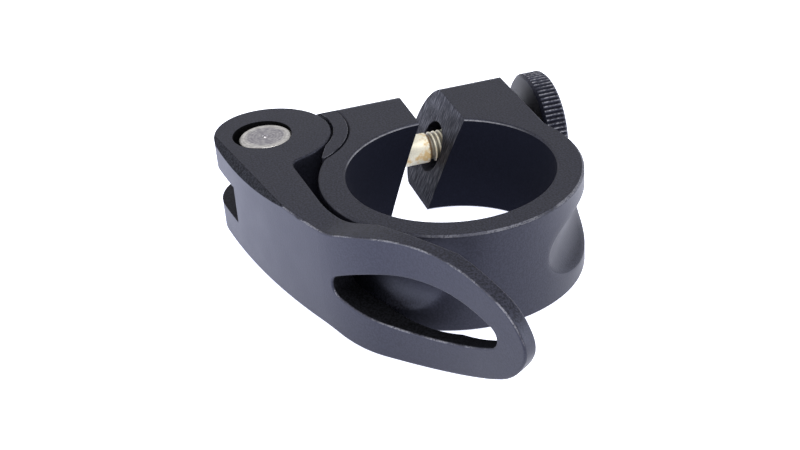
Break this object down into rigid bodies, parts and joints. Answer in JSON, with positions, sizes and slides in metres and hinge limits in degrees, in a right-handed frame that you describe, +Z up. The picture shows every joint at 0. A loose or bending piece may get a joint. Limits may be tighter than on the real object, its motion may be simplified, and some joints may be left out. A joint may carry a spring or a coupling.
{
  "type": "seatpost clamp",
  "caption": "Split aluminium clamp collar with a cam lever, cross pin, draw bolt and knurled nut, closed by swinging the leaf-shaped lever against the collar.",
  "frame": {"origin": "on the bore axis at the collar's lower face", "axes": "+Z up along the bore; X along the draw bolt, with the lever's pivot at -X and the knurled nut at +X; +Y towards the ears and the gap"},
  "size_m": [0.0566, 0.0716, 0.0201],
  "materials": {
    "black_anodised": "satin black anodising on bead-blasted aluminium",
    "pin_steel": "turned bright steel",
    "bolt_steel": "zinc plated steel"
  },
  "bodies": {
    "collar": {"collar": "black_anodised", "cam_saddle": "black_anodised"},
    "draw": {"draw_bolt": "bolt_steel", "pivot_pin": "pin_steel"},
    "lever": {"cam_lever": "black_anodised"},
    "nut": {"knurled_nut": "black_anodised"}
  },
  "joints": [
    {"name": "bolt_slide", "type": "slide", "parent": "collar", "child": "draw", "axis": [1, 0, 0], "range_m": [-0.00275, 0.0003]},
    {"name": "lever_hinge", "type": "hinge", "parent": "draw", "child": "lever", "pos_m": [-0.0234, 0.0224, 0.00813], "axis": [0, 0, -1], "range_deg": [0, 170]},
    {"name": "nut_spin", "type": "hinge", "parent": "draw", "child": "nut", "pos_m": [0.0233, 0.0224, 0.00813], "axis": [1, 0, 0], "continuous": true}
  ]
}
